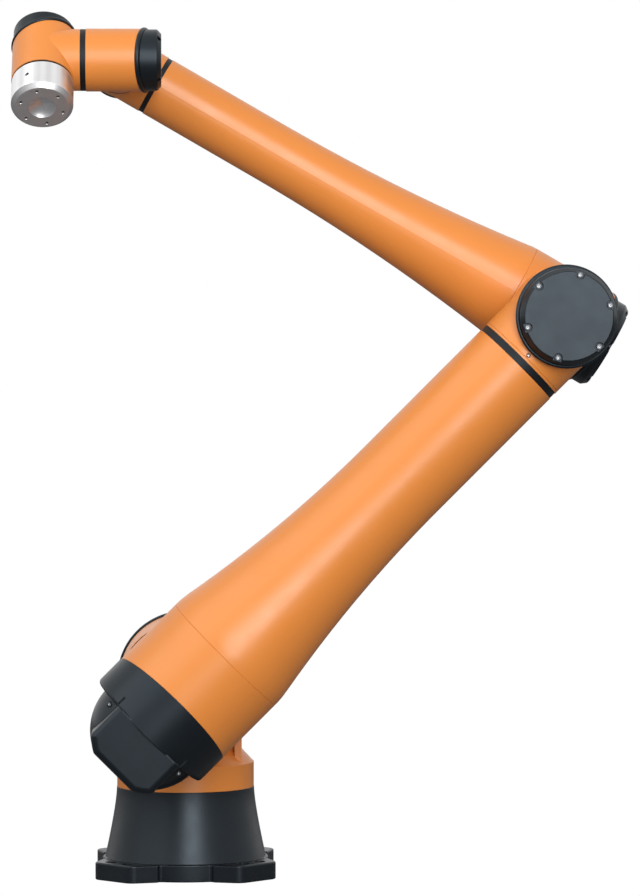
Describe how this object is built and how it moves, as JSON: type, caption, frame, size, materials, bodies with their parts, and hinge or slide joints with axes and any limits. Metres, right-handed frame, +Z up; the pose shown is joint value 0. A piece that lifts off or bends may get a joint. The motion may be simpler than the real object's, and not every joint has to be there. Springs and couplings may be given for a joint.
{
  "type": "industrial robot arm",
  "caption": "Articulated industrial robot arm with a lobed cast pedestal, flared painted upper arm and forearm, black end caps, a jointed wrist and a bright tool flange.",
  "frame": {"origin": "centre of the foot's flat underside, on the first axis", "axes": "+Z up along the first axis; -Y is the side that the upper arm is on; at rest the upper arm leans 45 degrees towards +X"},
  "size_m": [0.9117, 0.4652, 1.2791],
  "materials": {
    "orange_paint": "satin",
    "black_cover": "satin",
    "black_casting": "satin",
    "black_seal": "matte",
    "screw_steel": "satin",
    "flange_aluminium": "machined"
  },
  "bodies": {
    "base": {"base_pedestal": "black_casting"},
    "shoulder": {"shoulder_housing": "orange_paint", "shoulder_seal_ring": "black_seal", "shoulder_cap_lip": "black_cover", "shoulder_cap": "black_cover", "shoulder_cap_screws": "screw_steel"},
    "upper_arm": {"upper_arm_lower_housing": "orange_paint", "upper_arm_end_band": "black_cover", "upper_arm_end_dome": "black_cover", "upper_arm_end_screws": "screw_steel", "upper_arm_tube": "orange_paint", "upper_arm_ring": "black_seal", "elbow_housing": "orange_paint", "elbow_port_screw": "screw_steel", "elbow_seal_ring": "black_seal", "elbow_cap_lip": "black_cover", "elbow_cap": "black_cover", "elbow_cap_screws": "screw_steel"},
    "forearm": {"forearm_lower_housing": "orange_paint", "forearm_tube": "orange_paint", "forearm_ring": "black_seal", "forearm_wrist_housing": "orange_paint", "forearm_wrist_seal_ring": "black_seal", "forearm_cap_lip": "black_cover", "forearm_cap": "black_cover", "forearm_cap_screws": "screw_steel", "forearm_wrist_cap_lip": "black_cover", "forearm_wrist_cap": "black_cover", "forearm_wrist_cap_screws": "screw_steel"},
    "wrist_1": {"wrist_1_housing": "orange_paint", "wrist_1_seal_ring": "black_seal", "wrist_1_cap_lip": "black_cover", "wrist_1_cap": "black_cover", "wrist_1_cap_screws": "screw_steel"},
    "wrist_2": {"wrist_2_housing": "orange_paint", "wrist_2_seal_ring": "black_seal", "wrist_2_cap_lip": "black_cover", "wrist_2_cap": "black_cover", "wrist_2_cap_screws": "screw_steel"},
    "tool": {"tool_flange": "flange_aluminium", "tool_flange_screws": "screw_steel"}
  },
  "joints": [
    {"name": "base_turn", "type": "hinge", "parent": "base", "child": "shoulder", "pos_m": [0, 0, 0.1305], "axis": [0, 0, 1], "range_deg": [-360, 360]},
    {"name": "shoulder_turn", "type": "hinge", "parent": "shoulder", "child": "upper_arm", "pos_m": [0, -0.22, 0.2865], "axis": [0, -1, 0], "range_deg": [-360, 360]},
    {"name": "elbow_turn", "type": "hinge", "parent": "upper_arm", "child": "forearm", "pos_m": [0.54907, -0.063, 0.83557], "axis": [0, -1, 0], "range_deg": [-265, 55]},
    {"name": "wrist_1_turn", "type": "hinge", "parent": "forearm", "child": "wrist_1", "pos_m": [-0.09612, -0.182, 1.20807], "axis": [0, -1, 0], "range_deg": [-360, 360]},
    {"name": "wrist_2_turn", "type": "hinge", "parent": "wrist_1", "child": "wrist_2", "pos_m": [-0.20542, -0.182, 1.20807], "axis": [-1, 0, 0], "range_deg": [-360, 360]},
    {"name": "tool_turn", "type": "hinge", "parent": "wrist_2", "child": "tool", "pos_m": [-0.20542, -0.25181, 1.13577], "axis": [0, -0.6947, -0.7193], "range_deg": [-360, 360]}
  ]
}
